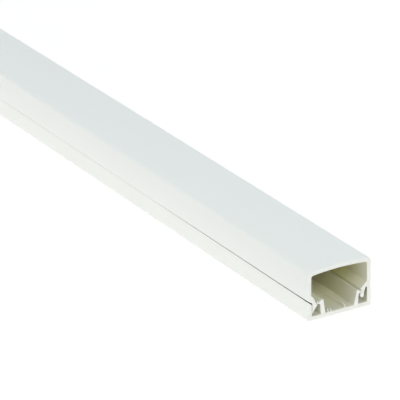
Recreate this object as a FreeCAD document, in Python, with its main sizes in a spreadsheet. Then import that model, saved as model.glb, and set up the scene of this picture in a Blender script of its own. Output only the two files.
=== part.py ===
"""Cord cover raceway in two pieces: a base channel and a cover that snaps over it.

Both pieces are plain extrusions, cut off square. The length lies along X, the width along Y and
the height along Z, and the origin is the middle of the sole. Sizes are in millimetres.
The near side is the one at -Y, with the wedge leg. The far side, at +Y, has the round leg.
"""
import FreeCAD, Part
import os
import re
import Sketcher

SIZES = [
    # Outside
    ("length", 400.0, "cut length of both pieces"),
    ("width", 25.4, "width over the outer walls"),
    ("height", 18.6, "height from the sole to the crest of the cover"),
    ("crown_radius", 100.0, "radius of the cover's crowned top"),
    ("corner_round", 1.2, "round on the cover's two upper corners"),
    ("parting_height", 7.0, "height of the base's outer walls, where the two pieces part"),
    ("parting_gap", 0.15, "open line between the base wall and the edge of the cover"),
    ("parting_drop", 1.2, "how far the near parting line falls through the wall, going inwards"),
    ("edge_round", 0.1, "round on the outer edges at the parting line"),
    ("sole_round", 0.5, "round on the two edges of the sole"),
    # Walls
    ("base_wall", 1.5, "thickness of the base's outer walls"),
    ("base_floor", 1.4, "thickness of the base's floor"),
    ("cover_wall", 1.4, "thickness of the cover's sides"),
    ("cover_top", 1.5, "thickness of the cover's top"),
    ("inner_round", 0.9, "round inside the cover's two upper corners"),
    ("wall_lean", 0.15, "how far the cover's inner faces lean to the near side, going down"),
    # Retaining ribs of the base, with their hooks
    ("leg_room", 3.4, "space between the outer wall and the neck of the rib, for the leg"),
    ("rib_top", 6.75, "height of the ribs above the sole"),
    ("near_rib_neck", 1.3, "thickness of the near rib at its neck"),
    ("far_rib_neck", 0.65, "thickness of the slimmer far rib at its neck"),
    ("rib_foot", 1.75, "thickness of a rib at the floor"),
    ("rib_lean", 0.25, "how far a rib leans towards the wall from its foot to its neck"),
    ("rib_land", 0.4, "how far the flat top of a rib ends short of its neck"),
    ("hook_reach", 1.3, "how far the hook stands out from the neck"),
    ("hook_depth", 1.25, "from the top of the rib down to the underside of the hook"),
    ("hook_lip", 0.8, "thickness of the hook at its lip"),
    ("dish_depth", 0.3, "depth of the dish behind the lip"),
    ("dish_back", 0.7, "distance of the dish from the lip"),
    ("neck_round", 0.7, "round between the neck and the underside of the hook"),
    ("foot_round", 0.3, "round where the ribs and walls stand on the floor"),
    # Low ribs on the floor
    ("near_rib_space", 2.1, "floor between the near hooked rib and the low rib beside it"),
    ("far_rib_space", 3.2, "floor between the far hooked rib and the low rib beside it"),
    ("low_rib_width", 0.6, "width of a low rib"),
    ("low_rib_height", 0.2, "height of a low rib above the floor"),
    # Legs of the cover
    ("fit_gap", 0.15, "clearance between the legs and the base"),
    ("leg_rise", 2.2, "from the parting line up to where a leg leaves the side wall"),
    ("wedge_catch", 0.2, "how far the wedge leg's point reaches under its hook"),
    ("wedge_height", 2.9, "height of the wedge leg's lead-in slope"),
    ("wedge_step", 0.4, "height of the step above the wedge leg's point"),
    ("waist_gap", 0.8, "space between the hook and the wedge leg's waist"),
    ("waist_height", 1.35, "height of the wedge leg's waist above its point"),
    ("shoulder_in", 0.75, "how far the wedge leg's shoulder stands in from the side wall"),
    ("shoulder_drop", 0.95, "how far the wedge leg's shoulder lies below its root"),
    ("round_catch", 0.6, "how far the round leg reaches under its hook"),
    ("round_toe", 1.35, "thickness of the round leg's toe"),
    ("toe_length", 1.85, "length of the round leg below its hook"),
    ("toe_round", 0.6, "round on the round leg's toe"),
    ("toe_spread", 0.15, "how much thicker the round leg is at the height of its hook"),
    ("leg_clear", 0.6, "space between the outer wall and the round leg at the parting line"),
    ("nose_reach", 0.5, "how far the nose over the hook stands out of the round leg's notch"),
    ("nose_height", 0.5, "height of that nose"),
    ("nose_slope", 0.2, "how far the face of the nose leans back"),
]

# Places that several outlines share, each in terms of the sizes above.
PLACES = {
    "wall_inside": "(width / 2 - base_wall)",
    "cover_inside": "(width / 2 - cover_wall)",
    "wall_middle": "(width / 2 - cover_wall / 2)",
    "near_root": "(width / 2 - cover_wall + wall_lean)",
    "far_root": "(width / 2 - cover_wall - wall_lean)",
    "neck_place": "(width / 2 - base_wall - leg_room)",
    "lip_place": "(width / 2 - base_wall - leg_room + hook_reach)",
    "rib_back": "(width / 2 - base_wall - leg_room - rib_lean - rib_foot)",
    "hook_under": "(rib_top - hook_depth)",
    "lip_top": "(rib_top - hook_depth + hook_lip)",
    "cover_edge": "(parting_height + parting_gap)",
    "leg_root": "(parting_height + leg_rise)",
    "catch_height": "(rib_top - hook_depth - fit_gap)",
    "inside_radius": "(crown_radius - cover_top)",
}

NEAR = "-1"
FAR = "1"


def make_sheet(document):
    """Put the driving dimensions into a spreadsheet, one alias each."""
    sheet = document.addObject("Spreadsheet::Sheet", "Sizes")
    for row, (alias, value, meaning) in enumerate(SIZES, start=1):
        sheet.set(f"A{row}", meaning)
        sheet.set(f"B{row}", str(value))
        sheet.setAlias(f"B{row}", alias)
    document.recompute()
    return sheet


def bound(text):
    """Write a formula in plain size and place names as one that reads the sheet."""
    for place, formula in PLACES.items():
        text = re.sub(rf"\b{place}\b", formula, text)
    aliases = "|".join(alias for alias, _, _ in SIZES)
    return re.sub(rf"\b({aliases})\b", r"Sizes.\1", text)


def origin_plane(body, role):
    """Return one of the body's own origin planes."""
    return next(plane for plane in body.Origin.OriginFeatures if plane.Role == role)


def draw_outline(body, name, corners, crests=None):
    """Draw a closed outline across the piece and tie every corner to the sheet.

    corners holds formulas for the place along Y and along Z, in order round the outline. crests
    gives, for each side that is an arc, the formulas of its radius and of its highest point.
    """
    sheet = body.Document.Sizes
    crests = crests or {}
    sketch = body.newObject("Sketcher::SketchObject", name)
    sketch.AttachmentSupport = [(origin_plane(body, "YZ_Plane"), "")]
    sketch.MapMode = "FlatFace"
    formulas = [(bound(across), bound(up)) for across, up in corners]
    points = [
        FreeCAD.Vector(sheet.evalExpression(across), sheet.evalExpression(up), 0)
        for across, up in formulas
    ]
    count = len(points)
    starts = []
    for side, point in enumerate(points):
        following = points[(side + 1) % count]
        if side in crests:
            crest = FreeCAD.Vector(0, sheet.evalExpression(bound(crests[side][1])), 0)
            curve = Part.Arc(point, crest, following)
        else:
            curve = Part.LineSegment(point, following)
        sketch.addGeometry(curve, False)
        starts_here = sketch.getPoint(side, 1).isEqual(point, 1e-6)
        starts.append(1 if starts_here else 2)
    for side in range(count):
        following = (side + 1) % count
        sketch.addConstraint(
            Sketcher.Constraint("Coincident", side, 3 - starts[side], following, starts[following])
        )
    for side, (across, up) in enumerate(formulas):
        for kind, formula, value in (
            ("DistanceX", across, points[side].x),
            ("DistanceY", up, points[side].y),
        ):
            number = sketch.addConstraint(
                Sketcher.Constraint(kind, -1, 1, side, starts[side], value)
            )
            sketch.setExpression(f"Constraints[{number}]", formula)
    for side, (radius, _) in crests.items():
        value = sheet.evalExpression(bound(radius))
        number = sketch.addConstraint(Sketcher.Constraint("Radius", side, value))
        sketch.setExpression(f"Constraints[{number}]", bound(radius))
    return sketch


def extrude(body, sketch, name):
    """Extrude an outline to both sides over the whole length."""
    pad = body.newObject("PartDesign::Pad", name)
    pad.Profile = sketch
    pad.SideType = "Symmetric"
    pad.setExpression("Length", "Sizes.length")
    pad.Refine = True
    sketch.Visibility = False
    body.Document.recompute()
    return pad


def round_edges(body, base, name, corners, radius):
    """Round the lengthwise edges that run through the given corners of the section."""
    sheet = body.Document.Sizes
    wanted = [
        FreeCAD.Vector(0, sheet.evalExpression(bound(across)), sheet.evalExpression(bound(up)))
        for across, up in corners
    ]
    names = []
    for number, edge in enumerate(base.Shape.Edges, start=1):
        middle = edge.BoundBox.Center
        lengthwise = edge.BoundBox.XLength > sheet.length / 2
        if lengthwise and any(middle.isEqual(place, 1e-4) for place in wanted):
            names.append(f"Edge{number}")
    if len(names) != len(wanted):
        raise RuntimeError(f"{name} found {len(names)} of {len(wanted)} edges")
    fillet = body.newObject("PartDesign::Fillet", name)
    fillet.Base = (base, names)
    fillet.setExpression("Radius", f"Sizes.{radius}")
    body.Document.recompute()
    return fillet


def both_sides(corners):
    """Give each corner of the far side and its mirror image."""
    return [(f"{side} * ({across})", up) for side in (NEAR, FAR) for across, up in corners]


def on_side(side, corners):
    """Put an outline, which is written for the far side, on the named side."""
    return [(f"{side} * ({across})", up) for across, up in corners]


def make_base(document):
    """Build the channel with its two hooked retaining ribs and two low ribs on the floor."""
    body = document.addObject("PartDesign::Body", "base_channel")
    body.Label = "base_channel"

    channel = [
        ("-width / 2", "0"),
        ("width / 2", "0"),
        ("width / 2", "parting_height"),
        ("wall_inside", "parting_height"),
        ("wall_inside", "base_floor"),
        ("-1 * wall_inside", "base_floor"),
        ("-1 * wall_inside", "parting_height - parting_drop"),
        ("-width / 2", "parting_height"),
    ]
    extrude(body, draw_outline(body, "ChannelOutline", channel), "Channel")

    for side, name in ((NEAR, "Near"), (FAR, "Far")):
        hook_rib = [
            ("rib_back", "base_floor / 2"),
            ("rib_back + rib_foot", "base_floor / 2"),
            ("rib_back + rib_foot", "base_floor"),
            ("neck_place", "hook_under"),
            ("lip_place", "hook_under"),
            ("lip_place", "lip_top"),
            ("lip_place - dish_back", "lip_top - dish_depth"),
            ("neck_place - rib_land", "rib_top"),
            (f"neck_place - {name.lower()}_rib_neck", "rib_top"),
            ("rib_back", "base_floor"),
        ]
        outline = draw_outline(body, f"{name}HookRibOutline", on_side(side, hook_rib))
        extrude(body, outline, f"{name}HookRib")

        space = f"{name.lower()}_rib_space"
        low_rib = [
            (f"rib_back - {space} - low_rib_width", "base_floor / 2"),
            (f"rib_back - {space}", "base_floor / 2"),
            (f"rib_back - {space}", "base_floor + low_rib_height"),
            (f"rib_back - {space} - low_rib_width", "base_floor + low_rib_height"),
        ]
        outline = draw_outline(body, f"{name}LowRibOutline", on_side(side, low_rib))
        section = extrude(body, outline, f"{name}LowRib")

    necks = both_sides([("neck_place", "hook_under")])
    section = round_edges(body, section, "NeckRounds", necks, "neck_round")
    feet = both_sides(
        [
            ("wall_inside", "base_floor"),
            ("rib_back + rib_foot", "base_floor"),
            ("rib_back", "base_floor"),
        ]
    )
    section = round_edges(body, section, "FootRounds", feet, "foot_round")
    soles = both_sides([("width / 2", "0")])
    section = round_edges(body, section, "SoleRounds", soles, "sole_round")
    edges = both_sides([("width / 2", "parting_height")])
    round_edges(body, section, "EdgeRounds", edges, "edge_round")
    return body


def make_cover(document):
    """Build the crowned cover with a wedge leg on the near side and a round leg on the far side."""
    body = document.addObject("PartDesign::Body", "snap_cover")
    body.Label = "snap_cover"

    crown_drop = "crown_radius - sqrt(crown_radius ^ 2 - (width / 2) ^ 2)"
    inside_drop = "inside_radius - sqrt(inside_radius ^ 2 - cover_inside ^ 2)"
    crown_edge = f"height - ({crown_drop})"
    inside_edge = f"height - cover_top - ({inside_drop})"
    cap = [
        ("width / 2", "cover_edge"),
        ("width / 2", crown_edge),
        ("-width / 2", crown_edge),
        ("-width / 2", "cover_edge"),
        ("-1 * near_root", "cover_edge"),
        ("-1 * near_root", "leg_root"),
        ("-1 * cover_inside", inside_edge),
        ("cover_inside", inside_edge),
        ("far_root", "leg_root"),
        ("far_root", "cover_edge"),
    ]
    crests = {1: ("crown_radius", "height"), 6: ("inside_radius", "height - cover_top")}
    extrude(body, draw_outline(body, "CapOutline", cap, crests), "Cap")

    wedge = on_side(
        NEAR,
        [
            ("width / 2", "cover_edge"),
            ("width / 2", "leg_root"),
            ("near_root", "leg_root"),
            ("cover_inside - shoulder_in", "leg_root - shoulder_drop"),
            ("lip_place + waist_gap", "catch_height + waist_height"),
            ("lip_place + fit_gap", "catch_height + wedge_step"),
            ("lip_place + fit_gap", "catch_height"),
            ("lip_place - wedge_catch", "catch_height"),
            ("wall_inside - fit_gap", "catch_height - wedge_height"),
            ("wall_inside - fit_gap", "cover_edge - parting_drop"),
        ],
    )
    extrude(body, draw_outline(body, "WedgeLegOutline", wedge), "WedgeLeg")

    toe_inside = "lip_place - round_catch"
    toe_outside = f"{toe_inside} + round_toe"
    toe_bottom = "catch_height - toe_length"
    round_leg = [
        ("wall_middle", "cover_edge"),
        ("wall_middle", "leg_root"),
        ("far_root", "leg_root"),
        ("lip_place + fit_gap - nose_reach", "lip_top + fit_gap + nose_height"),
        ("lip_place + fit_gap - nose_reach - nose_slope", "lip_top + fit_gap"),
        ("lip_place + fit_gap", "lip_top + fit_gap"),
        ("lip_place + fit_gap", "catch_height"),
        (toe_inside, "catch_height"),
        (toe_inside, toe_bottom),
        (toe_outside, toe_bottom),
        (f"{toe_outside} + toe_spread", "catch_height"),
        ("wall_inside - leg_clear", "cover_edge"),
    ]
    section = extrude(body, draw_outline(body, "RoundLegOutline", round_leg), "RoundLeg")

    toes = [(toe_inside, toe_bottom), (toe_outside, toe_bottom)]
    section = round_edges(body, section, "ToeRounds", toes, "toe_round")
    inner = both_sides([("cover_inside", inside_edge)])
    section = round_edges(body, section, "InnerRounds", inner, "inner_round")
    corners = both_sides([("width / 2", crown_edge)])
    section = round_edges(body, section, "CornerRounds", corners, "corner_round")
    edges = both_sides([("width / 2", "cover_edge")])
    round_edges(body, section, "EdgeRounds", edges, "edge_round")
    return body


def check(document, pieces):
    """Stop if any object failed or a piece has no sound single solid."""
    for item in document.Objects:
        if "Invalid" in item.State or "Error" in item.State:
            raise RuntimeError(f"{item.Label} failed: {item.State}")
    for piece in pieces:
        shape = piece.Shape
        if shape.isNull() or not shape.isValid() or len(shape.Solids) != 1:
            raise RuntimeError(f"{piece.Label} isn't one sound solid")


def main():
    os.makedirs("parts", exist_ok=True)
    document = FreeCAD.newDocument("Raceway")
    make_sheet(document)
    pieces = [make_base(document), make_cover(document)]
    document.recompute()
    check(document, pieces)
    for piece in pieces:
        piece.Shape.exportStep(f"parts/{piece.Label}.step")
        box = piece.Shape.BoundBox
        print(piece.Label, "volume", round(piece.Shape.Volume), "size", box)
    overlap = pieces[0].Shape.common(pieces[1].Shape).Volume
    distance = pieces[0].Shape.distToShape(pieces[1].Shape)[0]
    print("overlap", round(overlap, 3), "clearance", round(distance, 3))


main()
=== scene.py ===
import math

import bpy
import numpy as np
from bpy.props import FloatProperty, FloatVectorProperty, PointerProperty
from mathutils import Matrix, Vector


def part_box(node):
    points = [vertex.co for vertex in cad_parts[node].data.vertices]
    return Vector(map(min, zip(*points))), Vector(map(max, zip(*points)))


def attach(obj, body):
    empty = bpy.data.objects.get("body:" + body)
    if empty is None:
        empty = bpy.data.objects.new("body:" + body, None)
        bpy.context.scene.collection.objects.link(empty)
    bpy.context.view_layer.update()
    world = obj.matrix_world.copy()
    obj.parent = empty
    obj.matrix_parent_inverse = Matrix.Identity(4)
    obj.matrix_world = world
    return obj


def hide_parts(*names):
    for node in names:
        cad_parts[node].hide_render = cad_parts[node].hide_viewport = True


# Cord cover raceway: a base channel with hooked inner ribs, and a crowned cover that snaps over it.
# X runs along the length, Y across the width and Z up from the sole. The near side is at -Y.

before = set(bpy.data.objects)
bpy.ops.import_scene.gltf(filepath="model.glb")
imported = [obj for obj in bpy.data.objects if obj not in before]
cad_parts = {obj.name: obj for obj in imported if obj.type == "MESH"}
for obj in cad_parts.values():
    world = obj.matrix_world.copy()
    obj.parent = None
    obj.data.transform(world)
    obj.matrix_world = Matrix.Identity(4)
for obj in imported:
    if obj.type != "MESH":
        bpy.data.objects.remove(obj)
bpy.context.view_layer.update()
BASE_LOW, BASE_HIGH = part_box("base_channel")
COVER_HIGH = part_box("snap_cover")[1]

bl_info = {
    "name": "Cord cover raceway",
    "version": (1, 0, 0),
    "blender": (4, 5, 0),
    "location": "View3D > Sidebar > Raceway",
    "description": "Builds a two-piece cord cover raceway with its satin vinyl finish",
    "category": "Object",
}

MM = 0.001
NEAR = -1
SHARP_ANGLE = math.radians(40)
WHITE = (1, 1, 1, 1)

# Zones of the surface, kept with each point of an outline.
OUTSIDE = 0
INSIDE = 1
# Faces in the parting line, which take a painted shade for the narrow gap.
IN_LINE = 2

# Sizes in millimetres. The frame gives the overall ones.
SIZES = {
    "length": ((BASE_HIGH.x - BASE_LOW.x) / MM, "cut length of both pieces"),
    "width": ((BASE_HIGH.y - BASE_LOW.y) / MM, "width over the outer walls"),
    "height": (COVER_HIGH.z / MM, "height from the sole to the crest of the cover"),
    "parting_height": (BASE_HIGH.z / MM, "height where the two pieces part"),
    "crown_radius": (100.0, "radius of the cover's crowned top"),
    "corner_round": (1.2, "round on the cover's two upper corners"),
    "parting_gap": (0.39, "open line on the near side at a sawn end"),
    "parting_closed": (0.02, "the same line where the cover is fully home"),
    "parting_reach": (106.0, "distance from a sawn end at which the line has closed"),
    "parting_flare": (10.0, "length over which the line flares at a sawn end"),
    "parting_drop": (1.2, "how far the near parting line falls through the wall, going inwards"),
    "sole_round": (0.5, "round on the two edges of the sole"),
    "arris": (0.1, "round on every other edge of the section"),
    "saw_arris": (0.06, "round on the sawn edges at the ends"),
    "base_wall": (1.5, "thickness of the base's outer walls"),
    "base_floor": (1.4, "thickness of the base's floor"),
    "cover_wall": (1.4, "thickness of the cover's sides"),
    "cover_top": (1.5, "thickness of the cover's top"),
    "inner_round": (0.9, "round inside the cover's two upper corners"),
    "wall_lean": (0.15, "how far the cover's inner faces lean to the near side, going down"),
    "leg_room": (3.4, "space between the outer wall and the neck of the rib"),
    "rib_top": (6.75, "height of the hooked ribs above the sole"),
    "near_rib_neck": (1.3, "thickness of the near rib at its neck"),
    "far_rib_neck": (0.65, "thickness of the slimmer far rib at its neck"),
    "rib_foot": (1.75, "thickness of a hooked rib at the floor"),
    "rib_lean": (0.25, "how far a rib leans towards the wall up to its neck"),
    "rib_land": (0.4, "how far the flat top of a rib ends short of its neck"),
    "hook_reach": (1.3, "how far the hook stands out from the neck"),
    "hook_depth": (1.25, "from the top of the rib down to the underside of the hook"),
    "hook_lip": (0.8, "thickness of the hook at its lip"),
    "dish_depth": (0.3, "depth of the dish behind the lip"),
    "dish_back": (0.7, "distance of the dish from the lip"),
    "neck_round": (0.7, "round between the neck and the underside of the hook"),
    "foot_round": (0.3, "round where the ribs and walls stand on the floor"),
    "near_rib_space": (2.1, "floor between the near hooked rib and its low rib"),
    "far_rib_space": (3.2, "floor between the far hooked rib and its low rib"),
    "low_rib_width": (0.6, "width of a low rib"),
    "low_rib_height": (0.2, "height of a low rib above the floor"),
    "fit_gap": (0.15, "clearance between the legs and the base"),
    "leg_rise": (2.2, "from the parting line up to the root of a leg"),
    "wedge_catch": (0.2, "how far the wedge leg's point reaches under its hook"),
    "wedge_height": (2.9, "height of the wedge leg's lead-in slope"),
    "wedge_step": (0.4, "height of the step above the wedge leg's point"),
    "waist_gap": (0.8, "space between the hook and the wedge leg's waist"),
    "waist_height": (1.35, "height of the wedge leg's waist above its point"),
    "shoulder_in": (0.75, "how far the wedge leg's shoulder stands in from the wall"),
    "shoulder_drop": (0.95, "how far the wedge leg's shoulder lies below its root"),
    "round_catch": (0.6, "how far the round leg reaches under its hook"),
    "round_toe": (1.35, "thickness of the round leg's toe"),
    "toe_length": (1.85, "length of the round leg below its hook"),
    "toe_round": (0.6, "round on the round leg's toe"),
    "toe_spread": (0.15, "how much thicker the round leg is at its hook"),
    "leg_clear": (0.6, "space between the outer wall and the round leg"),
    "nose_reach": (0.5, "how far the nose over the hook stands out"),
    "nose_height": (0.5, "height of that nose"),
    "nose_slope": (0.2, "how far the face of the nose leans back"),
    # The edge band is how far in a parting face takes the painted shade of the gap.
    "edge_band": (0.3, "how far in a parting face has taken its own colour"),
    # Painted shade: over this depth the inside turns darker and creamier, standing in for bounced
    # light.
    "mouth_depth": (20.0, "depth behind an open end over which the inside turns creamier"),
    "saw_beside": (50.0, "how far beside the middle the centre of the saw marks lies"),
    "saw_below": (70.0, "how far below the sole the centre of the saw marks lies"),
    "saw_pitch": (0.5712, "distance from one saw mark to the next"),
}

# Thin slivers that the saw tore up on the floor at the open end, in millimetres: the place across,
# the length, the rise towards the inside and the thickness.
SLIVERS = (
    (2.4, 3.2, 1.15, 0.55),
    (-3.5, 1.2, 0.8, 0.50),
    (-4.6, 0.6, 1.0, 0.45),
)

# Noises on the vinyl: features in a metre, and the stretch along X. Below 1 it draws them out.
CLOUD_SCALE = 28.0
LINE_SCALE = 900.0
LINE_STRETCH = 0.004
PEEL_SCALE = 2600.0
PEEL_STRETCH = 0.35
WANDER_SCALE = 180.0
GRAIN_SCALE = 5200.0

# Relief of the vinyl: the drawn lines and the orange peel, and on the sawn ends the saw marks and
# the grain. The last value is how far the marks wander, in radians.
LINE_RELIEF = 0.006 * MM
PEEL_RELIEF = 0.0042 * MM
MARK_RELIEF = 0.007 * MM
GRAIN_RELIEF = 0.014 * MM
MARK_WANDER = 9.0

# How far clouds and lines change the roughness, and how much rougher the sawn ends are.
CLOUD_ROUGHNESS = 0.08
LINE_ROUGHNESS = 0.10
SAWN_ROUGHNESS = 0.22

# Share of the lines in the drift of the colour, softness of the painted shade's change from the
# mouth's colour to the inner one, and share of the sawn edge's radius that takes the sawn colour.
LINE_SHARE = 0.3
FADE_SOFTNESS = 0.4
SAWN_SHARE = 0.3

# Lamps: the place and the width in metres, and the colour. All of them face one point.
LAMP_AIM = (0.1, 0.0, 0.01)
LAMPS = {
    "side": ((-0.70, -1.85, 0.12), 1.2, (1.0, 0.976, 0.976)),
    "front": ((0.50, -1.85, 0.55), 1.2, (1.0, 0.93, 0.917)),
    "end": ((1.60, 0.0, 0.95), 0.9, (0.991, 1.0, 0.914)),
    "back": ((-0.20, 1.50, 1.25), 1.2, (0.901, 0.954, 1.0)),
    "top": ((0.0, 0.0, 2.0), 1.2, (0.865, 0.92, 1.0)),
}


def length_property(name, millimetres, description):
    """A size as a property in scene units."""
    return FloatProperty(
        name=name.replace("_", " ").capitalize(),
        description=description.capitalize(),
        default=millimetres * MM,
        min=0.0,
        precision=5,
        unit="LENGTH",
        subtype="DISTANCE",
    )


def colour_property(name, colour, description):
    """A linear colour as a property."""
    return FloatVectorProperty(
        name=name,
        description=description,
        default=colour,
        min=0.0,
        max=1.0,
        size=3,
        subtype="COLOR",
    )


def share_property(name, share, description):
    """A share from 0 to 1 as a property."""
    return FloatProperty(
        name=name, description=description, default=share, min=0.0, max=1.0, subtype="FACTOR"
    )


def power_property(name, watts, description):
    """The power of a lamp as a property."""
    return FloatProperty(name=name, description=description, default=watts, min=0.0, unit="POWER")


class RacewaySizes(bpy.types.PropertyGroup):
    """Sizes of the two extrusions and of the saw marks."""

    __annotations__ = {
        name: length_property(name, value, description)
        for name, (value, description) in SIZES.items()
    }


class RacewayFinish(bpy.types.PropertyGroup):
    """Colours and surface of the vinyl."""

    base_colour: colour_property(
        "Base colour", (0.865, 0.885, 0.845), "Colour of the base's outside"
    )
    cover_colour: colour_property(
        "Cover colour", (0.865, 0.885, 0.85), "Colour of the cover's outside"
    )
    # The inside's colours are painted shade: from the mouth colour to darker, creamier inner ones
    # further in, standing in for light bounced inside the channel.
    mouth_shade_colour: colour_property(
        "Mouth colour", (0.89, 0.88, 0.775), "Colour of the inside at the open ends"
    )
    base_deep_shade: colour_property(
        "Base inner colour", (0.82, 0.80, 0.59), "Creamier colour inside the base, further in"
    )
    cover_deep_shade: colour_property(
        "Cover inner colour", (0.79, 0.755, 0.38), "Creamier colour inside the cover, further in"
    )
    sawn_colour: colour_property("Sawn colour", (0.955, 0.95, 0.92), "Colour of the sawn ends")
    # The faces in the parting line are painted dark: painted shade of the narrow gap, darkest on
    # the cover's faces.
    base_gap_shade: share_property(
        "Base line", 0.6, "Brightness of the base's faces in the parting line"
    )
    cover_gap_shade: share_property(
        "Cover line", 0.08, "Brightness of the cover's dusty faces in the parting line"
    )
    # The fall is a painted shading: the outside is paler at the sole and darker at the crown.
    painted_fall: share_property(
        "Fall", 0.10, "How much paler the outside is at the sole than at the crown"
    )
    sawn_painted_fall: share_property("Sawn fall", 0.05, "The same difference on the sawn ends")
    gloss: share_property("Gloss", 0.58, "How smooth the vinyl is, apart from its sawn ends")
    drift: share_property("Drift", 0.012, "How much the colour drifts over the surface")


class RacewayStage(bpy.types.PropertyGroup):
    """Camera and light."""

    azimuth: FloatProperty(
        name="Azimuth",
        description="Direction of the camera, turned from -Y towards +X",
        default=math.radians(60.024),
        subtype="ANGLE",
    )
    elevation: FloatProperty(
        name="Elevation",
        description="Height of the camera above the floor, as an angle",
        default=math.radians(23.049),
        subtype="ANGLE",
    )
    roll: FloatProperty(
        name="Roll",
        description="Turn of the camera about its own axis",
        default=math.radians(-1.338),
        subtype="ANGLE",
    )
    distance: FloatProperty(
        name="Distance",
        description="From the camera to the point it looks at",
        default=1.035,
        unit="LENGTH",
        subtype="DISTANCE",
    )
    target: FloatVectorProperty(
        name="Target",
        description="Point that the camera looks at",
        default=(0.16779, -0.03551, 0.03880),
        size=3,
        unit="LENGTH",
        subtype="TRANSLATION",
    )
    focal_length: FloatProperty(
        name="Focal length",
        description="Lens of the camera",
        default=273.857,
        unit="CAMERA",
        subtype="DISTANCE_CAMERA",
    )
    sky_colour: colour_property("Sky colour", (0.2035, 0.2285, 0.2455), "Light from all around")
    floor_colour: colour_property("Floor colour", (0.93, 0.92, 0.89), "Colour of the floor")
    side_power: power_property("Side power", 20.9, "Power of the low lamp on the near side")
    front_power: power_property("Front power", 7.2, "Power of the higher lamp on the near side")
    end_power: power_property("End power", 12.1, "Power of the lamp before the open end")
    back_power: power_property("Back power", 11.8, "Power of the lamp on the far side")
    top_power: power_property("Top power", 10.0, "Power of the lamp right above")


# Outlines


def rounded(corners, rounds, steps=7):
    """Outline with its corners rounded.

    An arc takes the place of each corner and touches both of its sides. It turns from the one
    touching point to the other about the arc's centre, which lies on the line that halves the
    corner. One more point on each side, a tenth of the radius further on, keeps the flats flat.
    A corner with no round stays one point. Returns the points and the corner that each comes from.
    """
    corners = np.asarray(corners, float)
    rounds = np.asarray(rounds, float)[:, None]
    before = np.roll(corners, 1, axis=0) - corners
    after = np.roll(corners, -1, axis=0) - corners
    before /= np.linalg.norm(before, axis=1, keepdims=True)
    after /= np.linalg.norm(after, axis=1, keepdims=True)
    halving = before + after
    straight = np.linalg.norm(halving, axis=1, keepdims=True)
    halving = halving / np.maximum(straight, 1e-9)
    half_angle = np.arccos(np.clip((before * after).sum(1, keepdims=True), -1, 1)) / 2
    reach = rounds / np.tan(half_angle)
    centre = corners + halving * rounds / np.sin(half_angle)
    first = corners + before * reach - centre
    last = corners + after * reach - centre
    turn = np.pi - 2 * half_angle
    share = np.linspace(0, 1, steps)
    weight = np.maximum(np.sin(turn), 1e-9)
    arc = (
        first[:, None] * (np.sin((1 - share) * turn) / weight)[:, :, None]
        + last[:, None] * (np.sin(share * turn) / weight)[:, :, None]
    )
    lead = (first + before * rounds / 10)[:, None]
    trail = (last + after * rounds / 10)[:, None]
    grid = centre[:, None] + np.concatenate((lead, arc, trail), axis=1)
    source = np.repeat(np.arange(len(corners)), grid.shape[1])
    points = grid.reshape(-1, 2)
    single = np.tile(np.arange(grid.shape[1]) == 0, len(corners))
    keep = single | (rounds[source, 0] > 0)
    return points[keep], source[keep]


def crest(radius, top, half_width, count=25):
    """Points of a shallow arch: its height is the top less the radius, plus the root of the radius
    squared less the place across squared."""
    across = np.linspace(-half_width, half_width, count)
    return np.column_stack((across, top - radius + np.sqrt(radius**2 - across**2)))


def places(sizes):
    """Lines of the section that several corners share."""
    half = sizes.width / 2
    inside = half - sizes.base_wall
    neck = inside - sizes.leg_room
    under = sizes.rib_top - sizes.hook_depth
    return {
        "half": half,
        "inside": inside,
        "neck": neck,
        "lip": neck + sizes.hook_reach,
        "under": under,
        "lip_top": under + sizes.hook_lip,
        "front": neck - sizes.rib_lean,
        "back": neck - sizes.rib_lean - sizes.rib_foot,
        "cover_inside": half - sizes.cover_wall,
        "near_root": half - sizes.cover_wall + sizes.wall_lean,
        "far_root": half - sizes.cover_wall - sizes.wall_lean,
        "edge_start": half - sizes.edge_band,
        "root": sizes.parting_height + sizes.leg_rise,
        "catch": under - sizes.fit_gap,
    }


def base_half(sizes, space, rib_neck, drop):
    """Corners of half of the base, from the sole's edge in to its low rib, for y > 0.

    A row holds the place across, the height, the round and the zone. Space is the floor between
    the hooked rib and the low one, and drop is how far the parting face falls, going inwards.
    """
    at = places(sizes)
    low = at["back"] - space
    low_top = sizes.base_floor + sizes.low_rib_height
    top = sizes.parting_height
    start = top - drop * sizes.edge_band / sizes.base_wall
    rows = [
        (at["half"], 0, sizes.sole_round, OUTSIDE),
        (at["half"], top, sizes.arris, OUTSIDE),
        (at["edge_start"], start, 0, IN_LINE),
        (at["inside"], top - drop, sizes.arris, IN_LINE),
        (at["inside"], sizes.base_floor, sizes.foot_round, INSIDE),
        (at["front"], sizes.base_floor, sizes.foot_round, INSIDE),
        (at["neck"], at["under"], sizes.neck_round, INSIDE),
        (at["lip"], at["under"], sizes.arris, INSIDE),
        (at["lip"], at["lip_top"], sizes.arris, INSIDE),
        (at["lip"] - sizes.dish_back, at["lip_top"] - sizes.dish_depth, sizes.arris, INSIDE),
        (at["neck"] - sizes.rib_land, sizes.rib_top, sizes.arris, INSIDE),
        (at["neck"] - rib_neck, sizes.rib_top, sizes.arris, INSIDE),
        (at["back"], sizes.base_floor, sizes.foot_round, INSIDE),
        (low, sizes.base_floor, 0, INSIDE),
        (low, low_top, sizes.arris, INSIDE),
        (low - sizes.low_rib_width, low_top, sizes.arris, INSIDE),
        (low - sizes.low_rib_width, sizes.base_floor, 0, INSIDE),
    ]
    return np.array(rows, float)


def base_outline(sizes):
    """Outline of the base: the far half, then the near half mirrored and taken backwards."""
    far = base_half(sizes, sizes.far_rib_space, sizes.far_rib_neck, 0)
    near = base_half(sizes, sizes.near_rib_space, sizes.near_rib_neck, sizes.parting_drop)
    near = near[::-1] * (NEAR, 1, 1, 1)
    rows = np.concatenate((far, near))
    points, source = rounded(rows[:, :2], rows[:, 2])
    return points, rows[source, 3]


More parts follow.
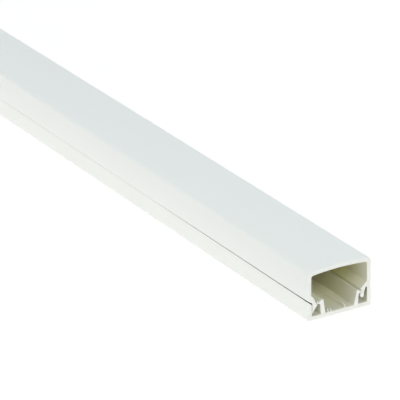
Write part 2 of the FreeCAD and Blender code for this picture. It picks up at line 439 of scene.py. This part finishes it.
def cover_outline(sizes, gap):
    """Outline of the cover, over the crown from the near edge to the far one and back inside.

    The gap is the open height of the near parting line. The far one is always closed.
    """
    at = places(sizes)
    edge = sizes.parting_height + gap
    far_edge = sizes.parting_height + sizes.parting_closed
    drop = sizes.parting_drop
    slope = drop / (sizes.base_wall + sizes.fit_gap)
    radius = sizes.crown_radius
    inside_radius = radius - sizes.cover_top
    inside_top = sizes.height - sizes.cover_top
    crown_edge = sizes.height - radius + math.sqrt(radius**2 - at["half"] ** 2)
    inside_edge = inside_top - inside_radius + math.sqrt(inside_radius**2 - at["cover_inside"] ** 2)
    hook_side = at["lip"] + sizes.fit_gap
    toe_inside = at["lip"] - sizes.round_catch
    toe_outside = toe_inside + sizes.round_toe
    toe_bottom = at["catch"] - sizes.toe_length
    nose_under = at["lip_top"] + sizes.fit_gap
    nose = hook_side - sizes.nose_reach
    arris = sizes.arris

    def arch(radius, top, half_width, zone):
        line = crest(radius, top, half_width)
        extra = np.column_stack((np.zeros(len(line)), np.full(len(line), zone)))
        return np.concatenate((line, extra), axis=1)

    # The arches stop two rounds short of the sides, which leaves room for the corners' rounds.
    outside = arch(radius, sizes.height, at["half"] - 2 * sizes.corner_round, OUTSIDE)
    inner_reach = at["cover_inside"] - 2 * sizes.inner_round
    inner = arch(inside_radius, inside_top, inner_reach, INSIDE)[::-1]
    near_side = [
        (-at["half"], edge, arris, OUTSIDE),
        (-at["half"], crown_edge, sizes.corner_round, OUTSIDE),
    ]
    far_side = [
        (at["half"], crown_edge, sizes.corner_round, OUTSIDE),
        (at["half"], far_edge, arris, OUTSIDE),
    ]
    far_leg = [
        (at["edge_start"], far_edge, 0, IN_LINE),
        (at["inside"] - sizes.leg_clear, far_edge, arris, IN_LINE),
        (toe_outside + sizes.toe_spread, at["catch"], arris, INSIDE),
        (toe_outside, toe_bottom, sizes.toe_round, INSIDE),
        (toe_inside, toe_bottom, sizes.toe_round, INSIDE),
        (toe_inside, at["catch"], arris, INSIDE),
        (hook_side, at["catch"], arris, INSIDE),
        (hook_side, nose_under, arris, INSIDE),
        (nose - sizes.nose_slope, nose_under, arris, INSIDE),
        (nose, nose_under + sizes.nose_height, arris, INSIDE),
        (at["far_root"], at["root"], arris, INSIDE),
    ]
    near_leg = [
        (at["near_root"], at["root"], arris, INSIDE),
        (at["cover_inside"] - sizes.shoulder_in, at["root"] - sizes.shoulder_drop, arris, INSIDE),
        (at["lip"] + sizes.waist_gap, at["catch"] + sizes.waist_height, arris, INSIDE),
        (hook_side, at["catch"] + sizes.wedge_step, arris, INSIDE),
        (hook_side, at["catch"], arris, INSIDE),
        (at["lip"] - sizes.wedge_catch, at["catch"], arris, INSIDE),
        (at["inside"] - sizes.fit_gap, at["catch"] - sizes.wedge_height, arris, INSIDE),
        (at["inside"] - sizes.fit_gap, edge - drop, arris, IN_LINE),
        (at["edge_start"], edge - slope * sizes.edge_band, 0, IN_LINE),
    ]
    rows = np.concatenate(
        (
            near_side,
            outside,
            far_side,
            far_leg,
            [(at["cover_inside"], inside_edge, sizes.inner_round, INSIDE)],
            inner,
            [(-at["cover_inside"], inside_edge, sizes.inner_round, INSIDE)],
            np.array(near_leg) * (NEAR, 1, 1, 1),
        )
    )
    points, source = rounded(rows[:, :2], rows[:, 2])
    return points, rows[source, 3]


# Swept meshes


def stations(sizes, count=97, steps=5):
    """Places along the length, and how far the section is drawn in at each.

    Between the ends the places are spread evenly. At an end the last ones follow a quarter circle:
    with an angle from 0 to 90 degrees, the place is the sine and the inset is one less the cosine,
    each times the radius of the sawn edge.
    """
    half = sizes.length / 2
    angle = np.linspace(0, np.pi / 2, steps)
    end_place = half - sizes.saw_arris * (1 - np.sin(angle))
    end_inset = sizes.saw_arris * (1 - np.cos(angle))
    middle = np.linspace(-1, 1, count) * (half - 2 * sizes.saw_arris)
    place = np.concatenate((-end_place[::-1], middle, end_place))
    inset = np.concatenate((end_inset[::-1], np.zeros(count), end_inset))
    return place, inset


def outward(outline):
    """Unit normals of a closed outline: half way between the normals of the sides that meet."""
    following = np.roll(outline, -1, axis=-2) - outline
    following /= np.linalg.norm(following, axis=-1, keepdims=True)
    along = following + np.roll(following, 1, axis=-2)
    along /= np.linalg.norm(along, axis=-1, keepdims=True)
    area = np.cross(outline, np.roll(outline, -1, axis=-2)).sum(-1)
    side = np.sign(area)[..., None, None]
    return side * np.stack((along[..., 1], -along[..., 0]), axis=-1)


def swept_piece(name, place, sections, zone):
    """One closed solid from sections of equal point count that stand at places along X.

    The surface is a grid of quads over place and section point, and a flat face closes each end.
    Each section point has its zone, which the mesh keeps as an attribute.
    """
    rows, count = sections.shape[:2]
    along = np.broadcast_to(place[:, None, None], (rows, count, 1))
    points = np.concatenate((along, sections), axis=2).reshape(-1, 3)
    row = np.arange(rows - 1)[:, None] * count
    here = np.arange(count)[None]
    beside = (here + 1) % count
    quads = np.stack((row + here, row + beside, row + count + beside, row + count + here), -1)
    quads = quads.reshape(-1, 4)
    first = np.arange(count)
    last = first + (rows - 1) * count
    area = np.cross(sections[0], np.roll(sections[0], -1, axis=0)).sum()
    if area > 0:
        first = first[::-1]
    else:
        quads = quads[:, ::-1]
        last = last[::-1]
    mesh = bpy.data.meshes.new(name)
    mesh.from_pydata(points, [], quads.tolist() + [first.tolist(), last.tolist()])
    smooth = np.ones(len(mesh.polygons), bool)
    smooth[-2:] = False
    mesh.polygons.foreach_set("use_smooth", smooth)
    mesh.set_sharp_from_angle(angle=SHARP_ANGLE)
    attribute = mesh.attributes.new("zone", "FLOAT", "POINT")
    attribute.data.foreach_set("value", np.tile(zone, rows).astype(np.float32))
    mesh.update()
    piece = bpy.data.objects.new(name, mesh)
    bpy.context.scene.collection.objects.link(piece)
    return piece


def sliver(name, sizes, across, length, rise, thickness, steps=15, sides=8, tip=0.98):
    """A thin curl from the floor at the open end that rises inwards and tapers to a point.

    With a share from 0 at the sawn end to 1 at the point, it rises with the sine of that share of
    a right angle, and its thickness falls with the root of one less the share. It is cut off at
    the tip's share, just short of the point.
    """
    share = np.linspace(0.0, tip, steps)
    angle = np.linspace(0, 2 * np.pi, sides, endpoint=False)
    circle = np.column_stack((np.cos(angle), np.sin(angle))) * thickness / 2
    up = sizes.base_floor + thickness / 2 + rise * np.sin(share * np.pi / 2)
    middle = np.column_stack((np.full(len(up), across), up))
    sections = middle[:, None] + circle[None] * np.sqrt(1 - share)[:, None, None]
    place = sizes.length / 2 - sizes.saw_arris - length * share
    return swept_piece(name, place[::-1], sections[::-1], np.zeros(len(circle)))


# Shader maths


class Field:
    """A value that varies over the surface: an output socket on which + - * / work."""

    def __init__(self, finish, socket):
        self.finish = finish
        self.socket = socket

    def beside(self, output):
        """Another output of the same node."""
        return Field(self.finish, self.socket.node.outputs[output])

    def math(self, operation, *values):
        """A maths node on values or fields, which fill its sockets from the first one on."""
        return self.finish.node("ShaderNodeMath", {"operation": operation}, dict(enumerate(values)))

    def __add__(self, other):
        return self.math("ADD", self, other)

    __radd__ = __add__

    def __sub__(self, other):
        return self.math("SUBTRACT", self, other)

    def __rsub__(self, other):
        return self.math("SUBTRACT", other, self)

    def __mul__(self, other):
        return self.math("MULTIPLY", self, other)

    __rmul__ = __mul__

    def __truediv__(self, other):
        return self.math("DIVIDE", self, other)


class Finish:
    """The node tree of a material or of the world."""

    def __init__(self, owner):
        owner.use_nodes = True
        self.tree = owner.node_tree
        self.tree.nodes.clear()

    def node(self, kind, settings=None, sockets=None, output=0):
        """Add a node: its settings first, then the values or links of its sockets."""
        node = self.tree.nodes.new(kind)
        for name, value in (settings or {}).items():
            setattr(node, name, value)
        for name, value in (sockets or {}).items():
            socket = self.find(node.inputs, name)
            if isinstance(value, Field):
                self.tree.links.new(value.socket, socket)
            else:
                socket.default_value = value
        return Field(self, self.find(node.outputs, output)) if node.outputs else None

    @staticmethod
    def find(sockets, name):
        """A socket by its number, its identifier or its name."""
        if isinstance(name, int):
            return sockets[name]
        matching = [socket for socket in sockets if socket.identifier == name]
        return matching[0] if matching else sockets[name]

    def mix(self, share, first, second):
        """Mix two colours."""
        return self.node(
            "ShaderNodeMix",
            {"data_type": "RGBA"},
            {"Factor_Float": share, "A_Color": first, "B_Color": second},
            "Result_Color",
        )

    def around(self, level, colour, reach):
        """A colour that is darker by a share at level 0 and paler by the same share at level 1."""
        return self.mix(level, rgba(colour, 1 - reach), rgba(colour, 1 + reach))

    def noise(self, place, scale, stretch=1.0, detail=2.0):
        """Noise over the object, in features of about one part in scale of a metre."""
        stretched = self.node(
            "ShaderNodeMapping",
            {"vector_type": "POINT"},
            {"Vector": place, "Scale": (stretch, 1, 1)},
        )
        return self.node(
            "ShaderNodeTexNoise",
            {},
            {"Vector": stretched, "Scale": scale, "Detail": detail},
            "Fac",
        )


def rgba(colour, factor=1.0):
    """A colour with its alpha, lightened or darkened by a factor."""
    return (*(min(1.0, channel * factor) for channel in colour), 1.0)


class Surface:
    """Where a point of the vinyl lies, and the noises that run over it.

    Rise is 0 at the sole and 1 at the crown; it sets the painted shading. Depth is 0 at the open
    ends and 1 one inner shade depth further in; it sets the painted shade inside. Sawn is 1 on the
    sawn ends and 0 elsewhere.
    """

    def __init__(self, finish, sizes):
        half_length = sizes.length / 2
        sawn_from = half_length - SAWN_SHARE * sizes.saw_arris
        place = finish.node("ShaderNodeTexCoord", output="Object")
        along = finish.node("ShaderNodeSeparateXYZ", {}, {"Vector": place}, "X")
        from_middle = along.math("ABSOLUTE", along)
        self.across = along.beside("Y")
        self.up = along.beside("Z")
        self.rise = self.up / sizes.height
        self.depth = (half_length - from_middle) / sizes.mouth_depth
        self.sawn = from_middle.math("GREATER_THAN", from_middle, sawn_from)
        self.zone = finish.node("ShaderNodeAttribute", {"attribute_name": "zone"}, {}, "Fac")
        self.clouds = finish.noise(place, CLOUD_SCALE, detail=3.0)
        self.lines = finish.noise(place, LINE_SCALE, LINE_STRETCH)
        self.peel = finish.noise(place, PEEL_SCALE, PEEL_STRETCH, detail=3.0)
        self.wander = finish.noise(place, WANDER_SCALE)
        self.grain = finish.noise(place, GRAIN_SCALE)


def vinyl_colour(finish, surface, look, colour, deep_shade_colour, line_shade):
    """Colour of the vinyl outside, inside, in the parting line and on the sawn ends.

    The level is 1 where the outside is palest. It falls evenly from the sole to the crown, a
    painted shading, and the drift moves it up and down. Inside, a painted shade turns the colour
    darker and creamier further in, and the faces of the parting line get a painted shade.
    """
    drift = surface.clouds * (1 - LINE_SHARE) + surface.lines * LINE_SHARE
    span = look.painted_fall + 2 * look.drift
    # The level mixes the drift with a painted shading that is paler at the sole and darker at the
    # crown.
    level = drift * (2 * look.drift / span) + (1.0 - surface.rise) * (look.painted_fall / span)
    outer = finish.around(level, colour, look.drift + look.painted_fall / 2)
    cut = finish.around(level, look.sawn_colour, look.drift + look.sawn_painted_fall / 2)
    # Painted shade inside: darker and creamier from the mouth inwards.
    deep_shade_share = surface.depth.math("SMOOTH_MIN", surface.depth, 1.0, FADE_SOFTNESS)
    inner = finish.mix(deep_shade_share, rgba(look.mouth_shade_colour), rgba(deep_shade_colour))
    inside = surface.zone.math("MINIMUM", surface.zone, INSIDE)
    in_line = surface.zone.math("MAXIMUM", surface.zone, INSIDE) - INSIDE
    bare = finish.mix(inside, outer, inner)
    # Painted shade on the faces of the parting line.
    body = finish.mix(in_line, bare, rgba(deep_shade_colour, line_shade))
    return finish.mix(surface.sawn, body, cut)


def vinyl_relief(finish, surface, sizes):
    """Drawn lines and orange peel on the vinyl, and saw marks and grain on its sawn ends.

    The saw marks are arcs about a centre beside and below the end: the sine of the distance from
    it, one turn for each pitch.
    """
    beside = surface.across - sizes.saw_beside
    above = surface.up + sizes.saw_below
    radius = beside.math("SQRT", beside * beside + above * above)
    turn = radius * (2 * math.pi / sizes.saw_pitch) + surface.wander * MARK_WANDER
    marks = turn.math("SINE", turn)
    drawn = surface.lines * LINE_RELIEF + surface.peel * PEEL_RELIEF
    cut = marks * MARK_RELIEF + surface.grain * GRAIN_RELIEF
    height = drawn * (1.0 - surface.sawn) + cut * surface.sawn
    return finish.node("ShaderNodeBump", {}, {"Strength": 0.6, "Distance": 1.0, "Height": height})


def vinyl(name, colour, deep_shade_colour, line_shade, look, sizes):
    """Satin rigid vinyl.

    The colour drifts a little in clouds and in faint lines drawn along the extrusion, and a painted
    shading makes it paler low down. Painted shade makes the inside darker and creamier further in,
    standing in for light bounced inside the channel. The faces of the parting line are painted
    darker, as painted shade of the narrow gap. The sawn ends are paler and matt, with curved saw
    marks.
    """
    material = bpy.data.materials.new(name)
    finish = Finish(material)
    surface = Surface(finish, sizes)
    shade = vinyl_colour(finish, surface, look, colour, deep_shade_colour, line_shade)
    roughness = (
        (1.0 - look.gloss)
        + (surface.clouds - 0.5) * CLOUD_ROUGHNESS
        + (surface.lines - 0.5) * LINE_ROUGHNESS
        + surface.sawn * SAWN_ROUGHNESS
    )
    bump = vinyl_relief(finish, surface, sizes)
    shader = finish.node(
        "ShaderNodeBsdfPrincipled",
        {},
        {"Base Color": shade, "Roughness": roughness, "IOR": 1.53, "Normal": bump},
    )
    finish.node("ShaderNodeOutputMaterial", {}, {"Surface": shader})
    return material


def seen(finish):
    """1 where the camera sees a surface, straight or by way of gloss or glass."""
    camera = finish.node("ShaderNodeLightPath", output="Is Camera Ray")
    glossy = camera.beside("Is Glossy Ray")
    through = camera.beside("Is Transmission Ray")
    return camera.math("MAXIMUM", camera.math("MAXIMUM", camera, glossy), through)


def pale_floor(colour, own_share=0.12, white_level=1.04):
    """Matt pale floor. To the camera most of it is plain white, and a share keeps the shadow."""
    material = bpy.data.materials.new("pale_floor")
    finish = Finish(material)
    matt = finish.node("ShaderNodeBsdfDiffuse", {}, {"Color": rgba(colour)})
    white = finish.node("ShaderNodeEmission", {}, {"Color": WHITE, "Strength": white_level})
    whitened = finish.node("ShaderNodeMixShader", {}, {0: own_share, 1: white, 2: matt})
    surface = finish.node("ShaderNodeMixShader", {}, {0: seen(finish), 1: matt, 2: whitened})
    finish.node("ShaderNodeOutputMaterial", {}, {"Surface": surface})
    return material


# Operators


class RACEWAY_OT_base_channel(bpy.types.Operator):
    """Build the base channel with its hooked ribs"""

    bl_idname = "raceway.base_channel"
    bl_label = "Base channel"

    def execute(self, context):
        sizes = context.scene.raceway_sizes
        look = context.scene.raceway_finish
        outline, zone = base_outline(sizes)
        place, inset = stations(sizes)
        sections = outline[None] - inset[:, None, None] * outward(outline)[None]
        piece = swept_piece("base_channel_vinyl", place, sections, zone)
        skin = vinyl("base_vinyl", look.base_colour, look.base_deep_shade, look.base_gap_shade, look, sizes)
        piece.data.materials.append(skin)
        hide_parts("base_channel")
        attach(piece, "base")
        return {"FINISHED"}


class RACEWAY_OT_slivers(bpy.types.Operator):
    """Add the slivers that the saw left on the floor at the open end"""

    bl_idname = "raceway.slivers"
    bl_label = "Slivers"

    def execute(self, context):
        sizes = context.scene.raceway_sizes
        look = context.scene.raceway_finish
        skin = vinyl("sliver_vinyl", look.sawn_colour, look.base_deep_shade, look.base_gap_shade, look, sizes)
        for number, millimetres in enumerate(SLIVERS, start=1):
            piece = sliver(f"saw_sliver_{number}", sizes, *(value * MM for value in millimetres))
            piece.data.materials.append(skin)
            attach(piece, "base")
        return {"FINISHED"}


class RACEWAY_OT_snap_cover(bpy.types.Operator):
    """Build the crowned cover with its wedge leg and its round leg"""

    bl_idname = "raceway.snap_cover"
    bl_label = "Snap cover"

    def execute(self, context):
        sizes = context.scene.raceway_sizes
        look = context.scene.raceway_finish
        opened, zone = cover_outline(sizes, sizes.parting_gap)
        closed, _ = cover_outline(sizes, sizes.parting_closed)
        place, inset = stations(sizes)
        # Half of the line's opening dies away like an exponential of the distance from the end,
        # and the other half closes with the square of that distance.
        distance = sizes.length / 2 - np.abs(place)
        slow = np.clip(1 - (distance / sizes.parting_reach) ** 2, 0, 1)
        openness = (slow + np.exp(-distance / sizes.parting_flare)) / 2
        sections = closed[None] + openness[:, None, None] * (opened - closed)[None]
        sections = sections - inset[:, None, None] * outward(sections)
        piece = swept_piece("snap_cover_vinyl", place, sections, zone)
        skin = vinyl(
            "cover_vinyl", look.cover_colour, look.cover_deep_shade, look.cover_gap_shade, look, sizes
        )
        piece.data.materials.append(skin)
        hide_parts("snap_cover")
        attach(piece, "cover")
        return {"FINISHED"}


def add_lamp(name, place, size, power, colour):
    """A broad square lamp that faces the lamps' common point."""
    lamp = bpy.data.lights.new(name, "AREA")
    lamp.shape = "SQUARE"
    lamp.size = size
    lamp.energy = power
    lamp.color = colour
    holder = bpy.data.objects.new(name, lamp)
    holder.location = place
    holder.visible_camera = False
    facing = Vector(LAMP_AIM) - Vector(place)
    holder.rotation_euler = facing.to_track_quat("-Z", "Y").to_euler()
    bpy.context.scene.collection.objects.link(holder)


class RACEWAY_OT_stage(bpy.types.Operator):
    """Set up the floor, the soft light and the camera"""

    bl_idname = "raceway.stage"
    bl_label = "Stage"

    def execute(self, context):
        scene = context.scene
        stage = scene.raceway_stage
        self.lay_floor(stage)
        self.light(scene, stage)
        self.aim_camera(scene, stage)
        scene.view_settings.view_transform = "Standard"
        return {"FINISHED"}

    def lay_floor(self, stage):
        """A square of floor just under the sole."""
        half = 4.0
        level = -0.02 * MM
        square = ((-half, -half), (half, -half), (half, half), (-half, half))
        corners = [(x, y, level) for x, y in square]
        mesh = bpy.data.meshes.new("floor")
        mesh.from_pydata(corners, [], [(0, 1, 2, 3)])
        mesh.materials.append(pale_floor(stage.floor_colour))
        floor = bpy.data.objects.new("floor", mesh)
        bpy.context.scene.collection.objects.link(floor)

    def light(self, scene, stage):
        """Even light from all around, white behind the object, and five broad lamps."""
        world = bpy.data.worlds.new("soft_light")
        scene.world = world
        sky = Finish(world)
        glow = sky.node("ShaderNodeBackground", {}, {"Color": rgba(stage.sky_colour)})
        white = sky.node("ShaderNodeBackground", {}, {"Color": WHITE})
        both = sky.node("ShaderNodeMixShader", {}, {0: seen(sky), 1: glow, 2: white})
        sky.node("ShaderNodeOutputWorld", {}, {"Surface": both})
        for name, (place, size, colour) in LAMPS.items():
            power = getattr(stage, f"{name}_power")
            add_lamp(f"{name}_lamp", place, size, power, colour)

    def aim_camera(self, scene, stage):
        """Camera at the photograph's angle. Its axis runs through the target."""
        azimuth, elevation, roll = stage.azimuth, stage.elevation, stage.roll
        back = Vector(
            (
                math.sin(azimuth) * math.cos(elevation),
                -math.cos(azimuth) * math.cos(elevation),
                math.sin(elevation),
            )
        )
        level = Vector((math.cos(azimuth), math.sin(azimuth), 0))
        upright = back.cross(level)
        right = level * math.cos(roll) + upright * math.sin(roll)
        up = upright * math.cos(roll) - level * math.sin(roll)
        turned = Matrix((right, up, back)).transposed().to_4x4()
        turned.translation = Vector(stage.target) + back * stage.distance
        lens = bpy.data.cameras.new("camera")
        lens.lens = stage.focal_length
        lens.sensor_width = 36.0
        lens.clip_start = 0.01
        camera = bpy.data.objects.new("camera", lens)
        camera.matrix_world = turned
        scene.collection.objects.link(camera)
        scene.camera = camera


class RACEWAY_PT_sidebar(bpy.types.Panel):
    """The raceway's operators and settings"""

    bl_idname = "RACEWAY_PT_sidebar"
    bl_label = "Cord cover raceway"
    bl_space_type = "VIEW_3D"
    bl_region_type = "UI"
    bl_category = "Raceway"

    def draw(self, context):
        layout = self.layout
        for operator in OPERATORS:
            layout.operator(operator.bl_idname)
        for group in ("raceway_finish", "raceway_stage", "raceway_sizes"):
            settings = getattr(context.scene, group)
            column = layout.column()
            for name in settings.bl_rna.properties.keys():
                if name not in ("rna_type", "name"):
                    column.prop(settings, name)


OPERATORS = (
    RACEWAY_OT_base_channel,
    RACEWAY_OT_slivers,
    RACEWAY_OT_snap_cover,
    RACEWAY_OT_stage,
)
GROUPS = {
    "raceway_sizes": RacewaySizes,
    "raceway_finish": RacewayFinish,
    "raceway_stage": RacewayStage,
}


def register():
    for item in (*GROUPS.values(), *OPERATORS, RACEWAY_PT_sidebar):
        bpy.utils.register_class(item)
    for name, group in GROUPS.items():
        setattr(bpy.types.Scene, name, PointerProperty(type=group))


def unregister():
    for name in GROUPS:
        delattr(bpy.types.Scene, name)
    for item in (RACEWAY_PT_sidebar, *OPERATORS, *GROUPS.values()):
        bpy.utils.unregister_class(item)


def main():
    register()
    bpy.ops.raceway.base_channel()
    bpy.ops.raceway.slivers()
    bpy.ops.raceway.snap_cover()
    bpy.ops.raceway.stage()


if __name__ == "__main__":
    main()
